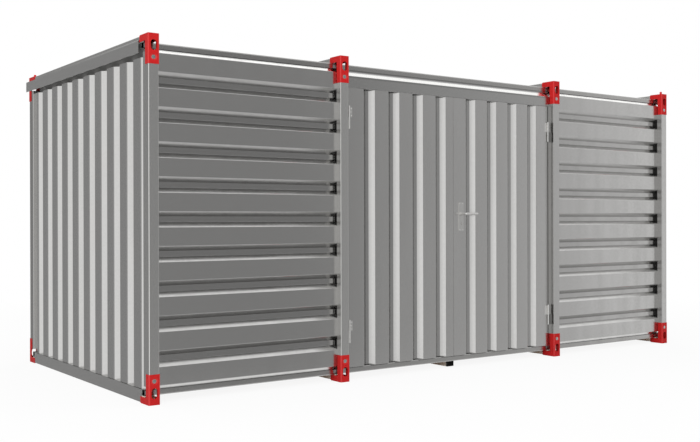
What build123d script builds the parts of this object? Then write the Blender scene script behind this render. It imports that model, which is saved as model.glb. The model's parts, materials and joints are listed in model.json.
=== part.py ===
from build123d import *
import os

os.makedirs("parts", exist_ok=True)

# Flat pack storage container: four portal frames of posts, skids and roof beams are held at their
# corners by red formed fittings, and ribbed sheets close the bays. Two ribbed door leaves hang in
# the middle bay of the front. Millimetres, +Z up, +X along the length, the front faces -Y, and the
# origin is at ground level under the middle of the overall box.

# Overall size over the fittings, and how far the roof reaches past the rear fittings
overall_length = 4918.0
overall_depth = 2242.0
overall_height = 2200.0
roof_overhang = 59.0
door_bay_width = 2006.0
cut_overrun = 10.0
seat_clearance = 0.3

# Corner fittings: formed plate, L-shaped from the side
fitting_width = 73.0
fitting_height = 181.0
fitting_cheek_depth = 44.0
fitting_leg_length = 126.0
fitting_leg_height = 40.0
fitting_plate = 4.0
fitting_bend = 8.0
fitting_heel_radius = 10.0
lifting_slot_width = 40.0
lifting_slot_height = 62.0
lifting_slot_from_end = 69.0
bolt_hole_diameter = 26.0
bolt_dish_diameter = 45.0
bolt_dish_depth = 3.0
bolt_from_end = 141.0

# Stacking pins on two opposite corners
stacking_pin_diameter = 19.0
stacking_pin_height = 25.0
stacking_pin_nose = 4.0
stacking_pin_inset = 38.0

# Posts, skids, beams and rails: hollow rolled sections
corner_post_depth = 82.0
inner_post_depth = 65.0
post_end_inset = 105.0
section_wall = 2.5
section_inside_radius = 1.5
skid_height = 41.0
skid_end_inset = 70.0
middle_skid_width = 66.0
middle_skid_inset = 113.0
skid_plug_depth = 12.0
rail_depth = 40.0
rail_height = 40.0
rail_inside_radius = 5.5

# Ribbed sheets
sheet = 2.0
sheet_bend = 2.0
panel_recess = 46.0
panel_edge_from_ground = 105.0
panel_edge_from_top = 106.0
panel_flange_rise = 21.0
panel_groove_pitch = 209.0
panel_groove_opening = 97.0
panel_groove_flank = 32.0
panel_groove_depth = 30.0
end_wall_recess = 20.0
end_wall_first_flat = 155.0
end_wall_pitch = 214.0
end_wall_flat = 110.0
end_wall_flank = 30.0
end_wall_depth = 30.0
end_wall_from_top = 126.0
wall_head_rail_width = 16.0
wall_head_lap = 29.0
roof_groove_pitch = 214.0
roof_groove_opening = 104.0
roof_groove_flank = 32.0
roof_groove_depth = 32.0
roof_edge_flat = 40.0
roof_end_inset = 53.0
eaves_clearance = 2.0
eaves_drip = 20.0
floor_thickness = 21.0

# End base rails and roof fascias
end_rail_sheet = 3.0
end_rail_foot = 5.0
end_rail_bend_height = 58.0
end_rail_top = 78.0
end_rail_clearance = 1.0
fascia_sheet = 2.0
fascia_gap = 0.5
fascia_bottom_from_top = 103.0
fascia_top_from_top = 26.0
fascia_front_gap = 9.0
fascia_hem = 1.5
fascia_bend = 2.5

# Door opening, leaves and hinges
door_gap = 5.0
door_jamb_width = 20.0
door_jamb_sheet = 2.5
door_sill_gap = 5.0
header_bottom_from_top = 201.0
header_edge_from_top = 123.0
header_ledge_rise = 31.0
header_flange = 11.0
header_return = 30.0
door_meeting_offset = 18.0
door_groove_first = 148.0
door_groove_pitch = 217.5
door_groove_opening = 98.0
door_groove_flank = 36.0
door_groove_depth = 29.0
door_return = 30.0
hinge_axis_inset = 5.0
hinge_axis_proud = 9.0
hinge_knuckle_diameter = 14.0
hinge_pin_diameter = 8.0
hinge_running_clearance = 0.08
hinge_length = 158.0
hinge_washer_gap = 0.5
hinge_low_height = 335.0
hinge_high_from_top = 407.0
hinge_door_plate_width = 30.0
hinge_door_plate_height = 71.0
hinge_door_plate = 3.0
hinge_post_plate = 6.0
hinge_web = 4.0
overlap_strip_width = 34.0
overlap_strip = 2.5

# Lock plate and lever
lock_plate_inset = 43.0
lock_plate_width = 46.0
lock_plate_below_lever = 128.0
lock_plate_height = 212.0
lock_plate = 6.0
lock_plate_corner = 6.0
keyhole_below_lever = 69.0
keyhole_round = 14.0
keyhole_slot_width = 8.0
keyhole_slot_length = 16.0
lever_height = 1138.0
lever_length = 116.0
lever_diameter = 17.0
lever_stand_off = 62.0
lever_elbow = 13.0
lever_tip = 6.0
lever_collar_diameter = 27.0
lever_collar = 10.0

# Places worked out from the sizes
left = -overall_length / 2
lever_proud = lever_stand_off + lever_diameter / 2 - panel_recess
front = (lever_proud - overall_depth - roof_overhang) / 2
rear = front + overall_depth
middle = front + overall_depth / 2
top = overall_height
corner_x = (overall_length - fitting_width) / 2
inner_x = (door_bay_width + fitting_width) / 2
frame_places = {
    "left_corner": -corner_x,
    "left_inner": -inner_x,
    "right_inner": inner_x,
    "right_corner": corner_x,
}
post_width = fitting_width - 2 * fitting_plate
post_back = front + fitting_plate + inner_post_depth
skid_top = fitting_plate + skid_height
beam_bottom = top - skid_top
rail_back = post_back + rail_depth
panel_face = front + panel_recess
rail_run = post_back - panel_face
header_bottom = top - header_bottom_from_top
leaf_edge = inner_x - post_width / 2 - door_jamb_width - door_gap
leaf_bottom = skid_top + rail_height + door_sill_gap
leaf_top = header_bottom - door_gap
right_leaf_start = -door_meeting_offset
left_leaf_end = right_leaf_start - door_gap
hinge_x = leaf_edge - hinge_axis_inset
hinge_y = panel_face - hinge_axis_proud
hinge_heights = [hinge_low_height, top - hinge_high_from_top]
lock_x = right_leaf_start + lock_plate_inset + lock_plate_width / 2
rear_plane = Plane((0, middle, 0), x_dir=(1, 0, 0), z_dir=(0, 1, 0))


def block(x0, x1, y0, y1, z0, z1):
    """A plain block between two corners."""
    corner = Pos(x0, y0, z0)
    return corner * Box(x1 - x0, y1 - y0, z1 - z0, align=(Align.MIN, Align.MIN, Align.MIN))


def hollow_bar(plane, width, height, inside, length):
    """A rolled hollow section centred on the plane and run along its normal."""
    outline = RectangleRounded(width, height, inside + section_wall)
    bore = RectangleRounded(width - 2 * section_wall, height - 2 * section_wall, inside)
    return extrude(plane * (outline - bore), length)


def folded_sheet(points, thickness, bend, plane, length):
    """A sheet of even thickness: folded along the outline, thickened to its left, run along the normal."""
    corners = [Vector(u, v) for u, v in points]
    runs = [(after - before).normalized() for before, after in zip(corners, corners[1:])]
    normals = [Vector(-run.Y, run.X) for run in runs]
    back = [corners[0] + normals[0] * thickness]
    face_radii = []
    back_radii = []
    for corner, before, after in zip(corners[1:], normals, normals[1:]):
        back.append(corner + (before + after) * (thickness / (1 + before.dot(after))))
        folds_to_back = before.cross(after).Z > 0
        face_radii.append(bend + thickness if folds_to_back else bend)
        back_radii.append(bend if folds_to_back else bend + thickness)
    back.append(corners[-1] + normals[-1] * thickness)
    face_line = FilletPolyline(*corners, radius=face_radii)
    back_line = FilletPolyline(*back, radius=back_radii)
    ends = Line(corners[0], back[0]).edges() + Line(corners[-1], back[-1]).edges()
    return extrude(plane * make_face(face_line.edges() + back_line.edges() + ends), length)


def groove_points(start, opening, flank, depth):
    """The four corners of one trapezoid groove."""
    floor_start = start + flank
    floor_end = start + opening - flank
    return [(start, 0), (floor_start, depth), (floor_end, depth), (start + opening, 0)]


def to_back(y):
    """The place as far from the rear as the given one is from the front."""
    return front + rear - y


def to_rear(shape):
    """The same piece on the rear side of the container."""
    return mirror(shape, about=rear_plane)


def to_right(shape):
    """The same piece on the right side of the container."""
    return mirror(shape, about=Plane.YZ)


def write(name, *shapes):
    """Store the solids of one named piece."""
    solids = [solid for shape in shapes for solid in shape.solids()]
    piece = solids[0] if len(solids) == 1 else Compound(children=solids)
    export_step(piece, f"parts/{name}.step")


def bottom_fitting(x):
    """One front bottom fitting: front plate, sole and two L-shaped cheeks of formed plate."""
    heel = fitting_leg_length
    with BuildPart() as body:
        with BuildSketch(Plane.YZ.offset(-fitting_width / 2)):
            with BuildLine():
                Polyline(
                    (0, 0),
                    (heel, 0),
                    (heel, fitting_leg_height),
                    (fitting_cheek_depth, fitting_leg_height),
                    (fitting_cheek_depth, fitting_height),
                    (0, fitting_height),
                    close=True,
                )
            make_face()
        extrude(amount=fitting_width)
        front_edges = body.edges().filter_by(Axis.Z).group_by(Axis.Y)[0]
        fillet(front_edges, fitting_bend)
        heel_edges = body.edges().filter_by(Axis.X).group_by(Axis.Z)[0].sort_by(Axis.Y)[-1]
        fillet(heel_edges, fitting_heel_radius)
    hollow_depth = heel + cut_overrun
    hollow_height = fitting_height + cut_overrun
    half = post_width / 2
    hollow = block(-half, half, fitting_plate, hollow_depth, fitting_plate, hollow_height)
    inner_edges = hollow.edges().filter_by(Axis.Z).group_by(Axis.Y)[0]
    hollow = fillet(inner_edges, fitting_bend - fitting_plate)
    face = Plane((0, 0, 0), x_dir=(1, 0, 0), z_dir=(0, -1, 0))
    slot_shape = Rot(0, 0, 90) * SlotOverall(lifting_slot_height, lifting_slot_width)
    slot = extrude(face * Pos(0, lifting_slot_from_end) * slot_shape, -2 * fitting_plate)
    hole = extrude(face * Pos(0, bolt_from_end) * Circle(bolt_hole_diameter / 2), -2 * fitting_plate)
    dish_centre = face * Pos(0, bolt_from_end, -bolt_dish_depth / 2)
    dish = dish_centre * Cone(bolt_hole_diameter / 2, bolt_dish_diameter / 2, bolt_dish_depth)
    return Pos(x, front, 0) * (body.part - hollow - slot - hole - dish)


def top_fitting(x):
    """One front top fitting: the bottom fitting turned over."""
    half_height = Plane((0, 0, top / 2), x_dir=(1, 0, 0), z_dir=(0, 0, 1))
    return mirror(bottom_fitting(x), about=half_height)


def front_post(x, depth):
    """One front post, between its two fittings."""
    foot = Plane((x, front + fitting_plate + depth / 2, post_end_inset))
    return hollow_bar(foot, post_width, depth, section_inside_radius, top - 2 * post_end_inset)


def bar_along_depth(x, z, width, height, inset):
    """A hollow bar from front to rear."""
    start = Plane((x, front + inset, z), x_dir=(1, 0, 0), z_dir=(0, 1, 0))
    return hollow_bar(start, width, height, section_inside_radius, overall_depth - 2 * inset)


def front_rail(bottom):
    """A hollow rail along the front, behind the posts and into the corner fittings."""
    reach = corner_x + post_width / 2 - seat_clearance
    centre = (-reach, post_back + rail_depth / 2, bottom + rail_height / 2)
    start = Plane(centre, x_dir=(0, 1, 0), z_dir=(1, 0, 0))
    return hollow_bar(start, rail_depth, rail_height, rail_inside_radius, 2 * reach)


def front_panel(x0, x1):
    """A front bay's sheet: level grooves between two flanges that fold back to the rails."""
    panel_top = top - panel_edge_from_top
    grooves = int((panel_top - panel_edge_from_ground) // panel_groove_pitch)
    field = (grooves - 1) * panel_groove_pitch + panel_groove_opening
    first = (panel_edge_from_ground + panel_top - field) / 2
    flange_run = rail_run - sheet - seat_clearance
    points = [(panel_edge_from_ground - panel_flange_rise, flange_run), (panel_edge_from_ground, 0)]
    for step in range(grooves):
        start = first + step * panel_groove_pitch
        points += groove_points(start, panel_groove_opening, panel_groove_flank, panel_groove_depth)
    points += [(panel_top, 0), (panel_top + panel_flange_rise, flange_run)]
    plane = Plane((x1, panel_face, 0), x_dir=(0, 0, 1), z_dir=(-1, 0, 0))
    return folded_sheet(points, sheet, sheet_bend, plane, x1 - x0)


def left_end_wall():
    """The left end's sheet: upright grooves between the corner posts, notched over the base rails."""
    start = fitting_plate + corner_post_depth
    end = overall_depth - start
    flats = int((end - end_wall_first_flat) // end_wall_pitch) + 1
    points = [(start, end_wall_depth)]
    for step in range(flats):
        flat = end_wall_first_flat + step * end_wall_pitch
        points += [(flat - end_wall_flank, end_wall_depth), (flat, 0)]
        if step < flats - 1:
            flat_end = flat + end_wall_flat
            points += [(flat_end, 0), (flat_end + end_wall_flank, end_wall_depth)]
    points += [(end, 0)]
    wall_top = top - end_wall_from_top
    plane = Plane((left + end_wall_recess, front, wall_top), x_dir=(0, 1, 0), z_dir=(0, 0, -1))
    wall = folded_sheet(points, sheet, sheet_bend, plane, wall_top - skid_top)
    notch_back = rail_back + seat_clearance
    notch_top = skid_top + rail_height + seat_clearance
    notch_reach = left + end_wall_recess + end_wall_depth + sheet + cut_overrun
    notch = block(left, notch_reach, front, notch_back, 0, notch_top)
    return wall - notch - to_rear(notch)


def left_wall_head_rail():
    """The rail under the edge of the roof that carries the head of the left end wall."""
    outer = left + end_wall_recess + end_wall_depth + sheet + seat_clearance
    low = top - end_wall_from_top - wall_head_lap
    high = beam_bottom - sheet
    return block(outer, outer + wall_head_rail_width, rail_back, to_back(rail_back), low, high)


def roof_sheet():
    """The roof: valleys from front to rear under the beams, between the front and rear rails."""
    span = overall_length - 2 * roof_end_inset
    valleys = int((span - roof_groove_opening - 2 * roof_edge_flat) // roof_groove_pitch) + 1
    field = (valleys - 1) * roof_groove_pitch + roof_groove_opening
    first = (span - field) / 2
    points = [(0, 0)]
    for step in range(valleys):
        start = first + step * roof_groove_pitch
        points += groove_points(start, roof_groove_opening, roof_groove_flank, roof_groove_depth)
    points += [(span, 0)]
    plane = Plane((left + roof_end_inset, rail_back, beam_bottom), x_dir=(1, 0, 0), z_dir=(0, 1, 0))
    return folded_sheet(points, sheet, sheet_bend, plane, to_back(rail_back) - rail_back)


def rear_eaves(x0, x1):
    """One bay's eaves: a strip on the rear rail, folded down beyond the rear fittings."""
    start = to_back(rail_back)
    run = rear + roof_overhang - sheet - start
    points = [(0, 0), (run, 0), (run, -eaves_drip)]
    plane = Plane((x0, start, beam_bottom), x_dir=(0, 1, 0), z_dir=(1, 0, 0))
    return folded_sheet(points, sheet, sheet_bend, plane, x1 - x0)


def left_end_rail():
    """The left base rail: an upright face with a sloped ledge up to the wall, lapping the fittings' legs."""
    ledge_run = end_wall_recess - fitting_plate - end_rail_sheet - seat_clearance
    points = [(end_rail_foot, 0), (end_rail_bend_height, 0), (end_rail_top, ledge_run)]
    leg_end = front + fitting_leg_length + end_rail_clearance
    start = rail_back + end_rail_clearance
    plane = Plane((left + fitting_plate - end_rail_sheet, start, 0), x_dir=(0, 0, 1), z_dir=(0, 1, 0))
    rail = folded_sheet(points, end_rail_sheet, end_rail_sheet, plane, to_back(start) - start)
    notch_top = fitting_leg_height + end_rail_clearance
    notch = block(left, left + end_wall_recess, front, leg_end, 0, notch_top)
    return rail - notch - to_rear(notch)


def left_fascia():
    """The left roof fascia: a folded strip whose flanges stop short of the rear fitting it passes."""
    outer = left - fascia_gap - fascia_sheet
    start = front + fitting_leg_length + fascia_front_gap
    end = rear + roof_overhang
    low = top - fascia_bottom_from_top
    high = top - fascia_top_from_top
    beam_side = left + fitting_plate
    hem = fascia_sheet + fascia_bend + fascia_hem
    points = [(low, hem), (low, 0), (high, 0), (high, beam_side - outer)]
    plane = Plane((outer, start, 0), x_dir=(0, 0, 1), z_dir=(0, 1, 0))
    strip = folded_sheet(points, fascia_sheet, fascia_bend, plane, end - start)
    notch_start = rear - fitting_leg_length - fascia_front_gap
    notch_reach = beam_side + cut_overrun
    notch_end = end + cut_overrun
    return strip - block(left - fascia_gap, notch_reach, notch_start, notch_end, 0, top)


def door_header():
    """The fixed header over the doors: a ledge folds back to a flange on the roof rail."""
    reach = inner_x - post_width / 2
    flange_run = rail_run - sheet - seat_clearance
    edge = top - header_edge_from_top
    flange_bottom = edge + header_ledge_rise
    points = [
        (header_bottom, header_return),
        (header_bottom, 0),
        (edge, 0),
        (flange_bottom, flange_run),
        (flange_bottom + header_flange, flange_run),
    ]
    plane = Plane((reach, panel_face, 0), x_dir=(0, 0, 1), z_dir=(-1, 0, 0))
    return folded_sheet(points, sheet, sheet, plane, 2 * reach)


def left_jamb():
    """The left jamb: an angle beside the post that carries the hinges."""
    side = -inner_x + post_width / 2
    jamb_bottom = skid_top + rail_height
    face_back = panel_face + door_jamb_sheet
    face = block(side, side + door_jamb_width, panel_face, face_back, jamb_bottom, header_bottom)
    leg = block(side, side + door_jamb_sheet, panel_face, post_back, jamb_bottom, header_bottom)
    return face + leg


def door_leaf(start, end, side):
    """One leaf: a folded sheet with upright grooves, from one edge return to the other."""
    grooves = int((leaf_edge - door_groove_first - door_groove_opening / 2) // door_groove_pitch) + 1
    centres = sorted(side * (door_groove_first + step * door_groove_pitch) for step in range(grooves))
    points = [(start, door_return), (start, 0)]
    for centre in centres:
        groove = centre - door_groove_opening / 2
        points += groove_points(groove, door_groove_opening, door_groove_flank, door_groove_depth)
    points += [(end, 0), (end, door_return)]
    plane = Plane((0, panel_face, leaf_bottom), x_dir=(1, 0, 0), z_dir=(0, 0, 1))
    return folded_sheet(points, sheet, sheet_bend, plane, leaf_top - leaf_bottom)


def left_post_hinge(z):
    """The fixed lower half of a left hinge: plate on the jamb, knuckle and the pin that stands in it."""
    low = z - hinge_length / 2
    half = hinge_length / 2
    side = -inner_x + post_width / 2
    knuckle_radius = hinge_knuckle_diameter / 2
    plate_front = panel_face - hinge_post_plate
    knuckle = Pos(-hinge_x, hinge_y, low) * Cylinder(
        knuckle_radius, half, align=(Align.CENTER, Align.CENTER, Align.MIN)
    )
    pin = Pos(-hinge_x, hinge_y, low) * Cylinder(
        hinge_pin_diameter / 2, hinge_length, align=(Align.CENTER, Align.CENTER, Align.MIN)
    )
    plate = block(side, side + door_jamb_width, plate_front, panel_face, low, z)
    web = block(side + door_jamb_width, -hinge_x, plate_front, plate_front + hinge_web, low, z)
    return knuckle + pin + plate + web


def left_door_hinge(z):
    """The upper half of a left hinge, on the leaf: plate and bored knuckle."""
    half = hinge_length / 2
    low = z + hinge_washer_gap
    knuckle = Pos(-hinge_x, hinge_y, low) * Cylinder(
        hinge_knuckle_diameter / 2, half - hinge_washer_gap, align=(Align.CENTER, Align.CENTER, Align.MIN)
    )
    plate = block(
        -hinge_x,
        -hinge_x + hinge_door_plate_width,
        panel_face - hinge_door_plate,
        panel_face,
        low,
        low + hinge_door_plate_height,
    )
    bore = Pos(-hinge_x, hinge_y, low - cut_overrun) * Cylinder(
        hinge_pin_diameter / 2 + hinge_running_clearance,
        hinge_length,
        align=(Align.CENTER, Align.CENTER, Align.MIN),
    )
    return knuckle + plate - bore


def lock_plate_solid():
    """The long plate on the right leaf, with the lever's bored collar and the keyhole."""
    face = Plane((lock_x, panel_face, lever_height), x_dir=(1, 0, 0), z_dir=(0, -1, 0))
    middle_height = lock_plate_height / 2 - lock_plate_below_lever
    outline = RectangleRounded(lock_plate_width, lock_plate_height, lock_plate_corner)
    bore = Circle(lever_diameter / 2 + hinge_running_clearance)
    key_round = Pos(0, -keyhole_below_lever) * Circle(keyhole_round / 2)
    key_middle = -keyhole_below_lever - keyhole_slot_length / 2
    key_slot = Pos(0, key_middle) * Rectangle(keyhole_slot_width, keyhole_slot_length)
    plate = extrude(face * (Pos(0, middle_height) * outline - bore - key_round - key_slot), lock_plate)
    collar = face.offset(lock_plate) * (Circle(lever_collar_diameter / 2) - bore)
    return plate + extrude(collar, lever_collar)


def lever():
    """The lever: a round neck out of the lock plate and a grip bent over to the right."""
    outer = panel_face - lever_stand_off
    root = (lock_x, panel_face - seat_clearance, lever_height)
    elbow = (lock_x, outer, lever_height)
    end = (lock_x + lever_length, outer, lever_height)
    path = FilletPolyline(root, elbow, end, radius=lever_elbow)
    section = Plane(root, x_dir=(1, 0, 0), z_dir=(0, -1, 0)) * Circle(lever_diameter / 2)
    bar = sweep(section, path=path)
    tip = bar.faces().sort_by(Axis.X)[-1]
    return fillet(tip.edges(), lever_tip)


def stacking_pin(x, y):
    """One stacking pin with a rounded nose."""
    foot = Pos(x, y, top)
    pin = Cylinder(
        stacking_pin_diameter / 2, stacking_pin_height, align=(Align.CENTER, Align.CENTER, Align.MIN)
    )
    nose = pin.faces().sort_by(Axis.Z)[-1]
    return foot * chamfer(nose.edges(), stacking_pin_nose)


# Frames: posts and fittings, front and rear
for place, x in frame_places.items():
    depth = corner_post_depth if place.endswith("corner") else inner_post_depth
    post = front_post(x, depth)
    low_fitting = bottom_fitting(x)
    high_fitting = top_fitting(x)
    write(f"front_{place}_post", post)
    write(f"rear_{place}_post", to_rear(post))
    write(f"front_{place}_fittings", low_fitting, high_fitting)
    write(f"rear_{place}_fittings", to_rear(low_fitting), to_rear(high_fitting))

# Skids, beams, rails and floor
skid_middle = fitting_plate + skid_height / 2
frame_skids = [
    bar_along_depth(x, skid_middle, post_width, skid_height, skid_end_inset) for x in frame_places.values()
]
middle_skid = bar_along_depth(0, skid_top / 2, middle_skid_width, skid_top, middle_skid_inset)
write("skids", *frame_skids, middle_skid)
plug_width = middle_skid_width - 2 * section_wall
plug_height = skid_top - 2 * section_wall
plug_plane = Plane((0, front + middle_skid_inset, skid_top / 2), x_dir=(1, 0, 0), z_dir=(0, 1, 0))
plug_outline = RectangleRounded(plug_width, plug_height, section_inside_radius)
plug = extrude(plug_plane * plug_outline, skid_plug_depth)
write("skid_plugs", plug, to_rear(plug))
beam_middle = beam_bottom + skid_height / 2
beams = [
    bar_along_depth(x, beam_middle, post_width, skid_height, skid_end_inset) for x in frame_places.values()
]
write("roof_beams", *beams)
base_rail = front_rail(skid_top)
write("front_base_rail", base_rail)
write("rear_base_rail", to_rear(base_rail))
roof_rail = front_rail(beam_bottom - rail_height)
write("front_roof_rail", roof_rail)
write("rear_roof_rail", to_rear(roof_rail))
floor_reach = overall_length / 2 - roof_end_inset
floor_top = skid_top + floor_thickness
write("floor", block(-floor_reach, floor_reach, rail_back, to_back(rail_back), skid_top, floor_top))

# Wall sheets, roof, fascias and end rails
corner_side = corner_x - post_width / 2
inner_outside = inner_x + post_width / 2
inner_inside = inner_x - post_width / 2
left_panel = front_panel(-corner_side, -inner_outside)
write("front_left_panel", left_panel)
write("front_right_panel", to_right(left_panel))
write("rear_left_panel", to_rear(left_panel))
write("rear_middle_panel", to_rear(front_panel(-inner_inside, inner_inside)))
write("rear_right_panel", to_right(to_rear(left_panel)))
end_wall = left_end_wall()
write("left_end_wall", end_wall)
write("right_end_wall", to_right(end_wall))
head_rail = left_wall_head_rail()
write("wall_head_rails", head_rail, to_right(head_rail))
write("roof_sheet", roof_sheet())
frame_x = list(frame_places.values())
eaves_margin = fitting_width / 2 + eaves_clearance
eaves = [rear_eaves(a + eaves_margin, b - eaves_margin) for a, b in zip(frame_x, frame_x[1:])]
write("rear_eaves", *eaves)
end_rail = left_end_rail()
write("left_end_rail", end_rail)
write("right_end_rail", to_right(end_rail))
fascia = left_fascia()
write("left_fascia", fascia)
write("right_fascia", to_right(fascia))

# Doors
jamb = left_jamb()
write("door_header", door_header())
write("door_jambs", jamb, to_right(jamb))
write("left_door", door_leaf(-leaf_edge, left_leaf_end, -1))
write("right_door", door_leaf(right_leaf_start, leaf_edge, 1))
strip_front = panel_face - overlap_strip
strip_end = right_leaf_start + overlap_strip_width
strip = block(right_leaf_start, strip_end, strip_front, panel_face, leaf_bottom, leaf_top)
write("door_overlap_strip", strip)
post_halves = [left_post_hinge(z) for z in hinge_heights]
door_halves = [left_door_hinge(z) for z in hinge_heights]
write("post_hinges", *post_halves, *[to_right(half) for half in post_halves])
write("left_door_hinges", *door_halves)
write("right_door_hinges", *[to_right(half) for half in door_halves])
write("lock_plate", lock_plate_solid())
write("lever", lever())

# Stacking pins on the front right and rear left corners
pin_y = front + stacking_pin_inset
front_pin = stacking_pin(corner_x, pin_y)
write("stacking_pins", front_pin, to_right(to_rear(front_pin)))
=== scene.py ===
import json
import logging
import math
from dataclasses import dataclass, field, replace
from enum import Enum

import bpy
from bpy.types import Material, Node, NodeSocket, NodeTree, Object
from mathutils import Matrix, Vector


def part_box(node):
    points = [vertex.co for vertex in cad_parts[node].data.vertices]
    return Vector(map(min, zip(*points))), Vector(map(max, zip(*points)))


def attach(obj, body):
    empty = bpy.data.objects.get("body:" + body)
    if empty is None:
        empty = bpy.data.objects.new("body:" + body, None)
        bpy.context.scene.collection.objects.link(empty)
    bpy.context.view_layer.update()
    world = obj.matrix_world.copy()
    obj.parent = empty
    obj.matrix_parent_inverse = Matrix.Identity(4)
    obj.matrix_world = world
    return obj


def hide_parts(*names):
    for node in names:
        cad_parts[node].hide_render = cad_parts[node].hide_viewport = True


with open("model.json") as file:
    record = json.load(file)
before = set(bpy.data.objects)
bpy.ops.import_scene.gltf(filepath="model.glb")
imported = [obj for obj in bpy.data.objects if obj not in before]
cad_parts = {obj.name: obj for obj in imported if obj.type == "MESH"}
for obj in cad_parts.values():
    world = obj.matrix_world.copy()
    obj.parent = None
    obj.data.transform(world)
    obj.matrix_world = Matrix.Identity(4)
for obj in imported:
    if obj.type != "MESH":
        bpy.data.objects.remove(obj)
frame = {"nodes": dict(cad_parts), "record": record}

LOG = logging.getLogger("storage_container")

Point = tuple[float, float, float]
Colour = tuple[float, float, float, float]
Span = tuple[float, float]

EVEN: Point = (1.0, 1.0, 1.0)
WHITE: Colour = (1.0, 1.0, 1.0, 1.0)
# The near-black colour of the darker layers: painted shade in most places, a darker tone on faces that lean
# up, and the black of the skid's plug ends.
DUST_AND_SHADE_COLOUR: Colour = (0.03, 0.03, 0.029, 1.0)
FOLD_ANGLE = math.radians(20)
DOME_ANGLE = math.radians(40)

# The places of the sockets on a Mix node that mixes colours.
MIX_FACTOR, MIX_FIRST, MIX_SECOND, MIX_RESULT = 0, 6, 7, 2


class Side(Enum):
    """The long sides of the container, with the direction that each one faces along Y."""

    FRONT = -1
    REAR = 1


class Hand(Enum):
    """The left and right of the container, seen from the front."""

    LEFT = "left"
    RIGHT = "right"


class Bay(Enum):
    """The frames along the container."""

    LEFT_CORNER = "left_corner"
    LEFT_INNER = "left_inner"
    RIGHT_INNER = "right_inner"
    RIGHT_CORNER = "right_corner"


class Reading(Enum):
    """What a material reads of a surface: its place in metres, or the way that it faces."""

    PLACE = "Object"
    FACING = "Normal"


class Axis(Enum):
    """The axes of the shared frame."""

    X = "X"
    Y = "Y"
    Z = "Z"


class Operation(Enum):
    """How two values are combined."""

    SUM = "ADD"
    PRODUCT = "MULTIPLY"


@dataclass(frozen=True)
class Grain:
    """A soft noise: its cells per metre, its stretch along X, Y and Z, and its number of finer layers."""

    scale: float
    stretch: Point = EVEN
    detail: float = 3.0


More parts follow.
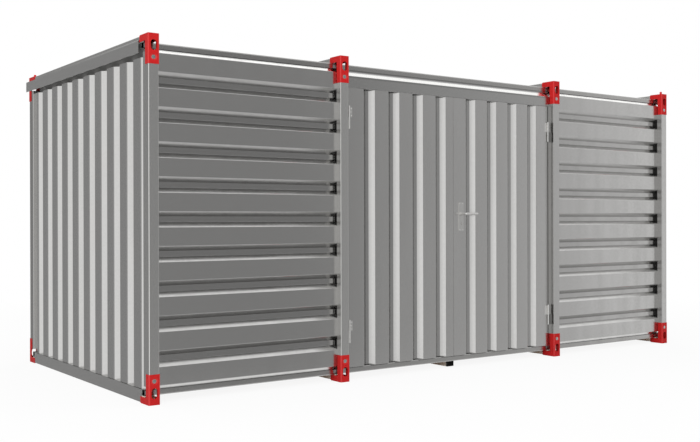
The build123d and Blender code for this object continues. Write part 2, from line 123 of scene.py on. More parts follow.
class Sheet:
    """A small helper that lays out the nodes of one material."""

    def __init__(self, name: str) -> None:
        """Start an empty material with an output.

        Args:
            name: The material's name.
        """
        self.material = bpy.data.materials.new(name)
        self.material.use_nodes = True
        self.tree = self.material.node_tree
        self.tree.nodes.clear()
        self.output = self.tree.nodes.new("ShaderNodeOutputMaterial")

    def add(self, kind: str, **values: object) -> Node:
        """Add one node and set its properties and sockets.

        Args:
            kind: The node's type.
            values: Properties by their own name, and sockets by name with spaces as underscores.

        Returns:
            The new node.
        """
        node = self.tree.nodes.new(kind)
        for key, value in values.items():
            if hasattr(node, key):
                setattr(node, key, value)
            else:
                node.inputs[key.replace("_", " ")].default_value = value
        return node

    def link(self, source: NodeSocket, target: NodeSocket) -> None:
        """Join an output to an input."""
        self.tree.links.new(source, target)

    def place(self, scale: Point = EVEN) -> NodeSocket:
        """Give the piece's own coordinates in metres, stretched.

        Args:
            scale: The stretch along X, Y and Z.

        Returns:
            The vector output.
        """
        where = self.add("ShaderNodeTexCoord")
        mapping = self.add("ShaderNodeMapping", Scale=scale)
        self.link(where.outputs["Object"], mapping.inputs["Vector"])
        return mapping.outputs["Vector"]

    def along(self, reading: Reading, axis: Axis) -> NodeSocket:
        """Give the surface's place, or the way that it faces, along one axis.

        Args:
            reading: Which of the two is read.
            axis: The axis.

        Returns:
            The value output.
        """
        where = self.add("ShaderNodeTexCoord")
        split = self.add("ShaderNodeSeparateXYZ")
        self.link(where.outputs[reading.value], split.inputs["Vector"])
        return split.outputs[axis.value]

    def noise(self, grain: Grain) -> NodeSocket:
        """Give a soft noise.

        Args:
            grain: The noise.

        Returns:
            The value output.
        """
        node = self.add("ShaderNodeTexNoise", Scale=grain.scale, Detail=grain.detail)
        self.link(self.place(grain.stretch), node.inputs["Vector"])
        return node.outputs["Fac"]

    def cells(self, scale: float) -> tuple[NodeSocket, NodeSocket]:
        """Give crystal-like cells.

        Args:
            scale: Cells per metre.

        Returns:
            The random tone of each cell, and the distance to its middle.
        """
        node = self.add("ShaderNodeTexVoronoi", Scale=scale)
        self.link(self.place(), node.inputs["Vector"])
        split = self.add("ShaderNodeSeparateColor")
        self.link(node.outputs["Color"], split.inputs["Color"])
        return split.outputs["Red"], node.outputs["Distance"]

    def spread(
        self, source: NodeSocket, low: float, high: float, start: float = 0.3, stop: float = 0.7
    ) -> NodeSocket:
        """Map a value onto another range.

        Args:
            source: The value.
            low: The result at the start.
            high: The result at the stop.
            start: The value that gives the low end.
            stop: The value that gives the high end.

        Returns:
            The mapped value.
        """
        node = self.add("ShaderNodeMapRange", From_Min=start, From_Max=stop, To_Min=low, To_Max=high)
        self.link(source, node.inputs["Value"])
        return node.outputs["Result"]

    def blend(self, factor: NodeSocket, first: Colour | NodeSocket, second: Colour) -> NodeSocket:
        """Mix a colour into another one, or into a skin that is already laid out.

        Args:
            factor: How much of the second colour shows.
            first: The main colour, or the skin.
            second: The other colour.

        Returns:
            The mixed colour.
        """
        node = self.add("ShaderNodeMix", data_type="RGBA")
        self.link(factor, node.inputs[MIX_FACTOR])
        if isinstance(first, NodeSocket):
            self.link(first, node.inputs[MIX_FIRST])
        else:
            node.inputs[MIX_FIRST].default_value = first
        node.inputs[MIX_SECOND].default_value = second
        return node.outputs[MIX_RESULT]

    def combine(self, operation: Operation, first: NodeSocket, second: NodeSocket) -> NodeSocket:
        """Combine two values.

        Args:
            operation: How they are combined.
            first: The one value.
            second: The other value.

        Returns:
            The sum or the product.
        """
        node = self.add("ShaderNodeMath", operation=operation.value)
        self.link(first, node.inputs[0])
        self.link(second, node.inputs[1])
        return node.outputs[0]

    def size(self, value: NodeSocket) -> NodeSocket:
        """Take the sign off a value.

        Args:
            value: The value.

        Returns:
            The value without its sign.
        """
        node = self.add("ShaderNodeMath", operation="ABSOLUTE")
        self.link(value, node.inputs[0])
        return node.outputs[0]

    def bump(self, height: NodeSocket, relief: Span) -> NodeSocket:
        """Turn a height into a bumped normal.

        Args:
            height: The height value.
            relief: How strongly it shows, and the height of the bump in metres.

        Returns:
            The normal.
        """
        strength, distance = relief
        node = self.add("ShaderNodeBump", Strength=strength, Distance=distance)
        self.link(height, node.inputs["Height"])
        return node.outputs["Normal"]

    def surface(self, **constants: object) -> Node:
        """Add the principled shader and join it to the output.

        Args:
            constants: Socket values that are the same all over.

        Returns:
            The shader node.
        """
        shader = self.add("ShaderNodeBsdfPrincipled", **constants)
        self.link(shader.outputs["BSDF"], self.output.inputs["Surface"])
        return shader


@dataclass(frozen=True)
class Bound:
    """One bound on where a darker layer lies, which is painted shade in most uses: the surface keeps its
    colour up to one value and takes the full layer from another.
    """

    reading: Reading
    axis: Axis
    unmarked: float
    full: float
    middle: float = 0.0
    both_ways: bool = True

    def mask(self, sheet: Sheet) -> NodeSocket:
        """Lay out the bound's nodes.

        Args:
            sheet: The material's nodes.

        Returns:
            One where the darker layer lies, zero where the surface keeps its colour.
        """
        shifted = sheet.add("ShaderNodeMath", operation="SUBTRACT")
        sheet.link(sheet.along(self.reading, self.axis), shifted.inputs[0])
        shifted.inputs[1].default_value = self.middle
        value = shifted.outputs[0]
        if self.both_ways:
            value = sheet.size(value)
        return sheet.spread(value, 0.0, 1.0, self.unmarked, self.full)


@dataclass(frozen=True)
class DustAndShade:
    """A darker layer on part of a surface, which is painted shade in most uses, a darker tone on faces that
    lean up in some, and the black of the skid's plug ends in one: how much of it shows, and the bounds that
    hold it.
    """

    share: float
    bounds: tuple[Bound, ...]

    def mask(self, sheet: Sheet) -> NodeSocket:
        """Lay out the nodes of all the bounds.

        Args:
            sheet: The material's nodes.

        Returns:
            The layer's share where all the bounds hold, zero elsewhere.
        """
        share = sheet.spread(self.bounds[0].mask(sheet), 0.0, self.share, 0.0, 1.0)
        for bound in self.bounds[1:]:
            share = sheet.combine(Operation.PRODUCT, share, bound.mask(sheet))
        return share


def lay_dust_and_shade(sheet: Sheet, skin: NodeSocket, layers: tuple[DustAndShade, ...]) -> NodeSocket:
    """Darken a skin layer by layer.

    Args:
        sheet: The material's nodes.
        skin: The colour before the layers.
        layers: The darker layers that lie on it, mostly painted shade.

    Returns:
        The darkened colour.
    """
    for dust_and_shade in layers:
        skin = sheet.blend(dust_and_shade.mask(sheet), skin, DUST_AND_SHADE_COLOUR)
    return skin


@dataclass(frozen=True)
class ZincFinish:
    """Galvanised steel: a bright zinc skin with faint crystals, rolling streaks and darker layers within
    bounds, which are mostly painted shade.
    """

    name: str
    light: Colour
    dark: Colour
    gloss: Span = (0.15, 0.25)
    crystal_scale: float = 90.0
    crystal_share: float = 0.35
    crystal_height: float = 0.004
    streaks: Grain = Grain(1.3, (7.0, 7.0, 0.6), 4.0)
    waves: Grain = Grain(4.0, detail=1.0)
    relief: Span = (0.05, 0.002)
    dust_and_shade: tuple[DustAndShade, ...] = ()

    def build(self) -> Material:
        """Lay out the material.

        Returns:
            The finished material.
        """
        sheet = Sheet(self.name)
        tone, distance = sheet.cells(self.crystal_scale)
        crystals = sheet.spread(tone, 0.0, self.crystal_share, 0.0, 1.0)
        drift = sheet.spread(sheet.noise(self.streaks), 0.0, 1.0 - self.crystal_share)
        mixed = sheet.combine(Operation.SUM, crystals, drift)
        shader = sheet.surface(Metallic=1.0)
        skin = lay_dust_and_shade(sheet, sheet.blend(mixed, self.light, self.dark), self.dust_and_shade)
        sheet.link(skin, shader.inputs["Base Color"])
        sheet.link(sheet.spread(mixed, *self.gloss, 0.0, 1.0), shader.inputs["Roughness"])
        steps = sheet.spread(distance, 0.0, self.crystal_height, 0.0, 1.0)
        height = sheet.combine(Operation.SUM, sheet.noise(self.waves), steps)
        sheet.link(sheet.bump(height, self.relief), shader.inputs["Normal"])
        return sheet.material


@dataclass(frozen=True)
class PaintFinish:
    """Satin paint on steel: a fine orange-peel skin, dull patches and a painted highlight in a paler red
    along upright bends.
    """

    name: str
    colour: Colour
    dull: Colour
    bend_highlight: Colour
    specular: float = 0.1
    roughness: Span = (0.38, 0.50)
    bend_range: Span = (0.05, 0.35)
    patches: Grain = Grain(26.0, detail=5.0)
    patch_range: Span = (0.45, 0.8)
    peel: Grain = Grain(420.0)
    relief: Span = (0.08, 0.0006)

    def bends(self, sheet: Sheet) -> NodeSocket:
        """Find the upright bends.

        Args:
            sheet: The material's nodes.

        Returns:
            One where the surface looks halfway between X and Y, zero on the flats.
        """
        sideways = sheet.along(Reading.FACING, Axis.X)
        product = sheet.combine(Operation.PRODUCT, sideways, sheet.along(Reading.FACING, Axis.Y))
        return sheet.spread(sheet.size(product), 0.0, 1.0, *self.bend_range)

    def build(self) -> Material:
        """Lay out the material.

        Returns:
            The finished material.
        """
        sheet = Sheet(self.name)
        shader = sheet.surface(Specular_IOR_Level=self.specular)
        patches = sheet.spread(sheet.noise(self.patches), 0.0, 1.0, *self.patch_range)
        # The paler red on the upright bends is a painted highlight.
        paint = sheet.blend(self.bends(sheet), sheet.blend(patches, self.colour, self.dull), self.bend_highlight)
        sheet.link(paint, shader.inputs["Base Color"])
        sheet.link(sheet.spread(patches, *self.roughness, 0.0, 1.0), shader.inputs["Roughness"])
        sheet.link(sheet.bump(sheet.noise(self.peel), self.relief), shader.inputs["Normal"])
        return sheet.material


@dataclass(frozen=True)
class WornSteelFinish:
    """Steel with a pale primer, a thin brown bloom of rust and dark grime within bounds."""

    name: str
    steel: Colour
    rust: Colour
    roughness: Span = (0.42, 0.7)
    bloom: Grain = Grain(18.0, (1.0, 0.4, 1.0), 6.0)
    bloom_range: Span = (0.4, 0.72)
    pits: Grain = Grain(180.0)
    relief: Span = (0.12, 0.0008)
    dust_and_shade: tuple[DustAndShade, ...] = ()

    def build(self) -> Material:
        """Lay out the material.

        Returns:
            The finished material.
        """
        sheet = Sheet(self.name)
        shader = sheet.surface(Metallic=0.0)
        bloom = sheet.spread(sheet.noise(self.bloom), 0.0, 1.0, *self.bloom_range)
        skin = lay_dust_and_shade(sheet, sheet.blend(bloom, self.steel, self.rust), self.dust_and_shade)
        sheet.link(skin, shader.inputs["Base Color"])
        sheet.link(sheet.spread(bloom, *self.roughness, 0.0, 1.0), shader.inputs["Roughness"])
        sheet.link(sheet.bump(sheet.noise(self.pits), self.relief), shader.inputs["Normal"])
        return sheet.material


@dataclass(frozen=True)
class PlasticFinish:
    """A matt skin with a fine texture, as on moulded plastic or primer."""

    name: str
    colour: Colour
    dusty_and_shaded: Colour
    roughness: float = 0.6
    specular: float = 0.05
    dust_and_shade: Grain = Grain(60.0)
    texture: Grain = Grain(700.0)
    relief: Span = (0.1, 0.0004)

    def build(self) -> Material:
        """Lay out the material.

        Returns:
            The finished material.
        """
        sheet = Sheet(self.name)
        shader = sheet.surface(Roughness=self.roughness, Specular_IOR_Level=self.specular)
        dust_and_shade = sheet.spread(sheet.noise(self.dust_and_shade), 0.0, 1.0)
        sheet.link(sheet.blend(dust_and_shade, self.colour, self.dusty_and_shaded), shader.inputs["Base Color"])
        sheet.link(sheet.bump(sheet.noise(self.texture), self.relief), shader.inputs["Normal"])
        return sheet.material


@dataclass(frozen=True)
class BoardFinish:
    """Film-faced plywood: brown, with long grain and dark joints between the boards."""

    name: str
    light: Colour
    dark: Colour
    joint: Colour = (0.02, 0.015, 0.01, 1.0)
    board_width: float = 1.203
    joint_range: Span = (0.0015, 0.003)
    roughness: Span = (0.45, 0.6)
    grain: Grain = Grain(5.0, (14.0, 0.7, 1.0), 6.0)
    relief: Span = (0.15, 0.0008)

    def build(self) -> Material:
        """Lay out the material.

        Returns:
            The finished material.
        """
        sheet = Sheet(self.name)
        shader = sheet.surface(Metallic=0.0)
        grain = sheet.spread(sheet.noise(self.grain), 0.0, 1.0)
        wrap = sheet.add("ShaderNodeMath", operation="PINGPONG")
        sheet.link(sheet.along(Reading.PLACE, Axis.X), wrap.inputs[0])
        wrap.inputs[1].default_value = self.board_width / 2
        joint = sheet.spread(wrap.outputs[0], 1.0, 0.0, *self.joint_range)
        wood = sheet.blend(joint, sheet.blend(grain, self.light, self.dark), self.joint)
        sheet.link(wood, shader.inputs["Base Color"])
        sheet.link(sheet.spread(grain, *self.roughness, 0.0, 1.0), shader.inputs["Roughness"])
        sheet.link(sheet.bump(grain, self.relief), shader.inputs["Normal"])
        return sheet.material


def put_finish(piece: Object, finish: Material) -> None:
    """Give a piece one finish all over.

    Args:
        piece: The object.
        finish: The material that it gets.
    """
    piece.data.materials.clear()
    piece.data.materials.append(finish)


def start_piece() -> None:
    """Leave edit mode and deselect everything before a new piece is added."""
    if bpy.context.object and bpy.context.object.mode != "OBJECT":
        bpy.ops.object.mode_set(mode="OBJECT")
    bpy.ops.object.select_all(action="DESELECT")


def select_faces(facing: Vector, limit: float = 0.9) -> None:
    """Select the faces of the piece in edit mode that look one way.

    Args:
        facing: The direction.
        limit: How close to that direction a face's normal has to be.
    """
    bpy.ops.mesh.select_all(action="DESELECT")
    bpy.ops.object.mode_set(mode="OBJECT")
    for polygon in bpy.context.object.data.polygons:
        polygon.select = polygon.normal.dot(facing) > limit
    bpy.ops.object.mode_set(mode="EDIT")


def settle(piece: Object, name: str) -> Object:
    """Leave edit mode, put the piece's place into its mesh and name it.

    Args:
        piece: The object.
        name: Its name.

    Returns:
        The same object.
    """
    bpy.ops.object.mode_set(mode="OBJECT")
    bpy.ops.object.transform_apply(location=True, rotation=True, scale=True)
    piece.name = name
    piece.data.name = name
    return piece


def copy_to(model: Object, name: str, place: Matrix) -> Object:
    """Copy a modelled piece with a mesh of its own.

    Args:
        model: The piece that was modelled once.
        name: The copy's name.
        place: Where the copy goes.

    Returns:
        The copy.
    """
    mesh = model.data.copy()
    mesh.transform(place)
    copy = bpy.data.objects.new(name, mesh)
    mesh.name = name
    bpy.context.collection.objects.link(copy)
    return copy


def discard(model: Object) -> None:
    """Remove a model whose copies stand for it.

    Args:
        model: The model.
    """
    mesh = model.data
    bpy.data.objects.remove(model)
    bpy.data.meshes.remove(mesh)


def start_plate(name: str, start: Vector, stop: Vector) -> Object:
    """Add a flat plate and enter edit mode.

    Args:
        name: The plate's name.
        start: Its lowest corner.
        stop: Its highest corner.

    Returns:
        The plate.
    """
    start_piece()
    bpy.ops.mesh.primitive_cube_add(size=1.0)
    plate = bpy.context.object
    plate.scale = stop - start
    plate.location = (start + stop) / 2
    settle(plate, name)
    bpy.ops.object.mode_set(mode="EDIT")
    return plate


def round_folds(plate: Object, name: str, bend: float) -> None:
    """Round all the edges of a folded plate and leave edit mode.

    Args:
        plate: The plate in edit mode.
        name: Its name.
        bend: The radius of its edges.
    """
    bpy.ops.mesh.select_all(action="SELECT")
    bpy.ops.mesh.bevel(offset=bend, segments=2, affect="EDGES")
    settle(plate, name)
    bpy.ops.object.shade_smooth_by_angle(angle=FOLD_ANGLE)


@dataclass
class RoundHead:
    """A domed round head with a flat shank below it, modelled along -Y."""

    radius: float
    height: float
    shank: float
    crown: float
    sides: int = 28
    shoulder_share: float = 0.22
    dome_share: float = 0.35
    shoulder_rise_share: float = 0.7
    dome_rise_share: float = 0.3

    def model(self, name: str) -> Object:
        """Model the head at the origin, with its seat in the plane Y=0.

        Args:
            name: The piece's name.

        Returns:
            The modelled head.
        """
        start_piece()
        bpy.ops.mesh.primitive_cylinder_add(
            vertices=self.sides, radius=self.radius, depth=self.height + self.shank, end_fill_type="NGON"
        )
        piece = bpy.context.object
        bpy.ops.object.mode_set(mode="EDIT")
        bpy.ops.mesh.select_all(action="SELECT")
        bpy.ops.transform.translate(value=(0.0, 0.0, (self.height - self.shank) / 2))
        select_faces(Vector((0.0, 0.0, 1.0)))
        bpy.ops.mesh.inset(thickness=self.radius * self.shoulder_share)
        bpy.ops.transform.translate(value=(0.0, 0.0, self.crown * self.shoulder_rise_share))
        bpy.ops.mesh.inset(thickness=self.radius * self.dome_share)
        bpy.ops.transform.translate(value=(0.0, 0.0, self.crown * self.dome_rise_share))
        bpy.ops.mesh.select_all(action="SELECT")
        bpy.ops.transform.rotate(
            value=-math.pi / 2, orient_axis="X", orient_type="GLOBAL", center_override=(0.0, 0.0, 0.0)
        )
        bpy.ops.mesh.normals_make_consistent(inside=False)
        settle(piece, name)
        bpy.ops.object.shade_smooth_by_angle(angle=DOME_ANGLE)
        return piece


@dataclass
class FittingBolts:
    """The low round bolt heads that show in the dished holes of the fittings."""

    finish: Material
    from_end: float = 0.141
    sunk: float = 0.0032
    head: RoundHead = field(default_factory=lambda: RoundHead(0.0108, 0.0012, 0.0010, 0.0003))

    def build(self) -> list[Object]:
        """Model one bolt head and copy it into every fitting.

        Returns:
            The bolt heads.
        """
        model = self.head.model("bolt_head_model")
        heads = []
        for side in Side:
            for bay in Bay:
                fitting = f"{side.name.lower()}_{bay.value}"
                low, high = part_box(f"{fitting}_fittings")
                face = low[1] if side is Side.FRONT else high[1]
                turn = Matrix.Rotation(0.0 if side is Side.FRONT else math.pi, 4, "Z")
                for level, height in (("bottom", low[2] + self.from_end), ("top", high[2] - self.from_end)):
                    place = Vector(((low[0] + high[0]) / 2, face - side.value * self.sunk, height))
                    bolt = copy_to(model, f"{fitting}_{level}_bolt", Matrix.Translation(place) @ turn)
                    put_finish(bolt, self.finish)
                    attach(bolt, "container")
                    heads.append(bolt)
        discard(model)
        return heads


@dataclass
class HingeRivets:
    """Three rivets on each hinge plate of the door leaves."""

    finish: Material
    plate: float = 0.003
    plate_low: float = 0.0005
    hinge_middles: Span = (0.335, 1.793)
    heights: Point = (0.012, 0.0355, 0.059)
    from_edge: Point = (0.008, 0.011, 0.008)
    head: RoundHead = field(default_factory=lambda: RoundHead(0.0042, 0.0006, 0.0008, 0.0014))

    def build(self) -> list[Object]:
        """Model one rivet and copy it onto the plates of both leaves.

        Returns:
            The rivets.
        """
        model = self.head.model("rivet_model")
        rivets = []
        for hand in Hand:
            low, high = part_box(f"{hand.value}_door_hinges")
            edge, way = (high[0], 1.0) if hand is Hand.LEFT else (low[0], -1.0)
            for level, middle in zip(("low", "high"), self.hinge_middles):
                bottom = middle + self.plate_low
                for step, (rise, inset) in enumerate(zip(self.heights, self.from_edge)):
                    place = Matrix.Translation((edge - way * inset, high[1] - self.plate, bottom + rise))
                    rivet = copy_to(model, f"{hand.value}_{level}_hinge_rivet_{step + 1}", place)
                    put_finish(rivet, self.finish)
                    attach(rivet, f"{hand.value}_leaf")
                    rivets.append(rivet)
        discard(model)
        return rivets


@dataclass
class MeetingStrip:
    """The folded strip on the right leaf's edge, which laps the gap between the leaves."""

    finish: Material
    lap: float = 0.0075
    thickness: float = 0.0018
    hem: float = 0.0022
    turn: float = 0.00055
    bend: float = 0.0004

    def build(self) -> list[Object]:
        """Model the strip: a flat sheet whose free edge is folded back towards the other leaf.

        Returns:
            The strip.
        """
        low, high = (Vector(corner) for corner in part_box("door_overlap_strip"))
        edge = low.x - self.lap
        stop = Vector((high.x, low.y + self.thickness, high.z))
        strip = start_plate("meeting_strip", Vector((edge, low.y, low.z)), stop)
        bpy.ops.mesh.select_all(action="SELECT")
        bpy.ops.mesh.bisect(plane_co=(edge + self.hem, 0.0, 0.0), plane_no=(1.0, 0.0, 0.0))
        select_faces(Vector((0.0, 1.0, 0.0)))
        self.keep_hem(edge + self.hem)
        bpy.ops.mesh.extrude_region_move(TRANSFORM_OT_translate={"value": (0.0, self.turn, 0.0)})
        round_folds(strip, "meeting_strip", self.bend)
        put_finish(strip, self.finish)
        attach(strip, "right_leaf")
        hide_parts("door_overlap_strip")
        return [strip]

    def keep_hem(self, limit: float) -> None:
        """Keep only the selected faces on the free edge's side.

        Args:
            limit: The place along X where the hem ends.
        """
        bpy.ops.object.mode_set(mode="OBJECT")
        for polygon in bpy.context.object.data.polygons:
            polygon.select = polygon.select and polygon.center.x < limit
        bpy.ops.object.mode_set(mode="EDIT")


@dataclass
class LeafHems:
    """The hems along the upper and lower edges of the leaves, which narrow the gaps to header and sill."""

    finish: Material
    gap: float = 0.001
    thickness: float = 0.002
    inset: float = 0.0006
    turn: float = 0.003
    bend: float = 0.0003

    def build(self) -> list[Object]:
        """Model the four hems: narrow strips with turned-in backs.

        Returns:
            The hems.
        """
        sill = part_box("front_base_rail")[1][2] + self.gap
        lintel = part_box("door_header")[0][2] - self.gap
        hems = []
        for hand in Hand:
            low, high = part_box(f"{hand.value}_door")
            for level, bottom, top in (("bottom", sill, low[2]), ("top", high[2], lintel)):
                name = f"{hand.value}_leaf_{level}_hem"
                start = Vector((low[0], low[1], bottom))
                hem = start_plate(name, start, Vector((high[0], low[1] + self.thickness, top)))
                select_faces(Vector((0.0, 1.0, 0.0)))
                bpy.ops.mesh.inset(thickness=self.inset)
                bpy.ops.mesh.extrude_region_move(TRANSFORM_OT_translate={"value": (0.0, self.turn, 0.0)})
                round_folds(hem, name, self.bend)
                put_finish(hem, self.finish)
                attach(hem, f"{hand.value}_leaf")
                hems.append(hem)
        return hems


@dataclass
class WallFootStrips:
    """The strips that carry the end rails' ledges on under the grooves of the end walls."""

    finish: Material
    reach: float = 0.0295
    below_ledge: float = 0.001
    thickness: float = 0.002
    rib: float = 0.003
    rib_inset_share: float = 1 / 3
    bend: float = 0.0003

    def build(self) -> list[Object]:
        """Model the two strips: narrow plates, each with a rib below.

        Returns:
            The strips.
        """
        strips = []
        for hand in Hand:
            name = f"{hand.value}_wall_foot_strip"
            wall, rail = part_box(f"{hand.value}_end_wall"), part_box(f"{hand.value}_end_rail")
            outer = wall[0][0] if hand is Hand.LEFT else wall[1][0] - self.reach
            top = rail[1][2] - self.below_ledge
            start = Vector((outer, rail[0][1], top - self.thickness))
            strip = start_plate(name, start, Vector((outer + self.reach, rail[1][1], top)))
            select_faces(Vector((0.0, 0.0, -1.0)))
            bpy.ops.mesh.inset(thickness=self.reach * self.rib_inset_share)
            bpy.ops.mesh.extrude_region_move(TRANSFORM_OT_translate={"value": (0.0, 0.0, -self.rib)})
            round_folds(strip, name, self.bend)
            put_finish(strip, self.finish)
            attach(strip, "container")
            strips.append(strip)
        return strips


@dataclass
class LockScrews:
    """The screws at the corners of the lock plate."""

    finish: Material
    plate: float = 0.006
    screw_inset: float = 0.008
    head: RoundHead = field(default_factory=lambda: RoundHead(0.0045, 0.0008, 0.0008, 0.0014))

    def build(self) -> list[Object]:
        """Model one screw and copy it to the corners of the plate.

        Returns:
            The screws.
        """
        model = self.head.model("lock_screw_model")
        low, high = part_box("lock_plate")
        inset = self.screw_inset
        screws = []
        for hand in Hand:
            x = low[0] + inset if hand is Hand.LEFT else high[0] - inset
            for level, z in (("low", low[2] + inset), ("high", high[2] - inset)):
                place = Matrix.Translation((x, high[1] - self.plate, z))
                screw = copy_to(model, f"lock_screw_{level}_{hand.value}", place)
                put_finish(screw, self.finish)
                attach(screw, "right_leaf")
                screws.append(screw)
        discard(model)
        return screws


@dataclass
class Finishes:
    """All the finishes, and the CAD nodes that each one dresses."""

    sheet: ZincFinish = ZincFinish("zinc_sheet", (0.635, 0.63, 0.62, 1.0), (0.585, 0.58, 0.57, 1.0))
    section: ZincFinish = ZincFinish("zinc_frame", (0.68, 0.675, 0.66, 1.0), (0.63, 0.625, 0.61, 1.0))
    post: ZincFinish = ZincFinish("zinc_post", (0.76, 0.755, 0.74, 1.0), (0.70, 0.695, 0.68, 1.0))
    dull: ZincFinish = ZincFinish("dull_zinc", (0.52, 0.515, 0.505, 1.0), (0.47, 0.465, 0.455, 1.0))
    jamb: ZincFinish = ZincFinish("jamb_zinc", (0.61, 0.605, 0.595, 1.0), (0.56, 0.555, 0.545, 1.0))
    bright: ZincFinish = ZincFinish("bright_zinc", (0.80, 0.795, 0.78, 1.0), (0.74, 0.735, 0.72, 1.0))
    lock: ZincFinish = ZincFinish("lock_zinc", (0.73, 0.725, 0.71, 1.0), (0.68, 0.675, 0.66, 1.0))
    # Near-white zinc, so that the header's ledge shows as a painted highlight; the rest of the header is
    # painted darker as shade.
    header: ZincFinish = ZincFinish("header_highlight_zinc", (0.97, 0.965, 0.95, 1.0), (0.92, 0.915, 0.90, 1.0))
    # A darker zinc on the roof, as painted shade that keeps its top from showing as bright as the overhead
    # light.
    roof: ZincFinish = ZincFinish(
        "roof_shade_zinc", (0.44, 0.44, 0.43, 1.0), (0.33, 0.33, 0.32, 1.0), gloss=(0.30, 0.45)
    )
    # The third red is the painted highlight along the upright bends.
    red: PaintFinish = PaintFinish(
        "red_paint", (0.56, 0.018, 0.018, 1.0), (0.50, 0.016, 0.016, 1.0), (0.62, 0.05, 0.05, 1.0)
    )
    skid: WornSteelFinish = WornSteelFinish("skid_steel", (0.95, 0.88, 0.79, 1.0), (0.88, 0.78, 0.66, 1.0))
    plug: PlasticFinish = PlasticFinish("black_plug", (0.003, 0.003, 0.003, 1.0), (0.010, 0.010, 0.009, 1.0))
    primer: PlasticFinish = PlasticFinish("grey_primer", (0.30, 0.30, 0.29, 1.0), (0.26, 0.255, 0.25, 1.0))
    board: BoardFinish = BoardFinish("floor_board", (0.30, 0.17, 0.085, 1.0), (0.19, 0.10, 0.05, 1.0))

    # How square to an axis a side is, and how far a face leans up or down, for a darker layer, mostly painted
    # shade, to lie on it.
    square_on: Span = (0.8, 0.95)
    leaning: Span = (0.2, 0.6)
    sharp_edge: float = 0.001

    # Painted shade in the grooves of the long walls and doors, fainter on the right panel.
    groove_shade_depths: Span = (0.012, 0.028)
    groove_shade_share: float = 0.22
    right_groove_shade_share: float = 0.12
    # Painted shade on the posts: black on their sides at the groove ends, and darker on the sides that face
    # left, more on the inner posts.
    post_shade_depths: Span = (0.003, 0.008)
    left_side_shade_share: float = 0.15
    inner_side_shade_share: float = 0.10
    inner_side_from: Span = (0.5, 0.4)
    # The painted shade of the dark lines where the rails meet the panels' folds.
    ledge_shade_share: float = 0.85
    # A darker tone on the faces that lean up.
    upward_darkening_share: float = 0.45

    # Where the header is painted darker as shade, round its ledge that is left bright as a painted highlight.
    header_flange: float = 0.011
    header_ledge: float = 0.031
    header_face_edge: Span = (0.001, -0.003)
    header_face_shade_share: float = 0.48
    header_flange_edge: Span = (0.021, 0.025)
    header_flange_shade_share: float = 0.60
    header_fold_below: float = 0.006
    header_fold_half: Span = (0.009, 0.004)
    header_fold_shade_share: float = 0.25
    header_rim_edge: Span = (0.006, 0.002)
    header_rim_shade_share: float = 0.30

    # Painted shade on the end walls' flanks beside each ridge.
    wall_ridge: Span = (0.004, 0.002)
    wall_flank: Span = (0.3, 0.5)
    wall_ridge_shade_share: float = 0.60
    # Painted shade on the right-hand fixed hinge halves.
    hinge_shade_from: Span = (0.0, 0.1)
    hinge_shade_facing: Span = (-0.6, -0.3)
    hinge_shade_share: float = 0.60
    plug_depth: float = 0.014

    def behind_walls(self, depths: Span) -> Bound:
        """Give the bound that lies between two depths behind the faces of the long walls.

        Args:
            depths: The depth up to which the surface keeps its colour, and the one from which it takes the
                full layer.

        Returns:
            The bound, set to the walls' places in the frame.
        """
        front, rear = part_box("front_left_panel"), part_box("rear_left_panel")
        middle = (front[0][1] + rear[1][1]) / 2
        face = rear[1][1] - middle
        return Bound(Reading.PLACE, Axis.Y, face - depths[0], face - depths[1], middle)

    def shaded_post(self) -> ZincFinish:
        """Give the posts' finish: black painted shade on their sides behind the walls' faces, where the
        grooves end, and darker painted shade on the sides that face left.

        Returns:
            The finish of the posts.
        """
        low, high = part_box("front_right_corner_post")
        corner = (low[0] + high[0]) / 2
        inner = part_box("front_right_inner_post")[1][0]
        unmarked, full = self.square_on
        sides = Bound(Reading.FACING, Axis.X, unmarked, full)
        outer = Bound(Reading.PLACE, Axis.X, corner, corner - self.sharp_edge)
        left_side = Bound(Reading.FACING, Axis.X, -unmarked, -full, both_ways=False)
        start, stop = (-inner - away for away in self.inner_side_from)
        past_corner = Bound(Reading.PLACE, Axis.X, start, stop, both_ways=False)
        # Painted shade: black at the groove ends, darker on the left-facing sides.
        layers = (
            DustAndShade(1.0, (self.behind_walls(self.post_shade_depths), sides, outer)),
            DustAndShade(self.left_side_shade_share, (left_side,)),
            DustAndShade(self.inner_side_shade_share, (left_side, past_corner)),
        )
        return replace(self.post, name="shaded_post", dust_and_shade=layers)

    def header_painted_light(self) -> ZincFinish:
        """Give the header's finish: a bright ledge, which is a painted highlight, between a face and a flange
        that are painted darker as shade.

        Returns:
            The finish of the header.
        """
        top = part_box("door_header")[1][2]
        edge = top - self.header_flange - self.header_ledge
        start, stop = (edge + rise for rise in self.header_face_edge)
        face = Bound(Reading.PLACE, Axis.Z, start, stop, both_ways=False)
        start, stop = (edge + rise for rise in self.header_flange_edge)
        flange = Bound(Reading.PLACE, Axis.Z, start, stop, both_ways=False)
        fold = Bound(Reading.PLACE, Axis.Z, *self.header_fold_half, edge - self.header_fold_below)
        start, stop = (top - drop for drop in self.header_rim_edge)
        rim = Bound(Reading.PLACE, Axis.Z, start, stop, both_ways=False)
        layers = (
            DustAndShade(self.header_face_shade_share, (face,)),
            DustAndShade(self.header_flange_shade_share, (flange,)),
            DustAndShade(self.header_fold_shade_share, (fold,)),
            DustAndShade(self.header_rim_shade_share, (rim,)),
        )
        return replace(self.header, dust_and_shade=layers)

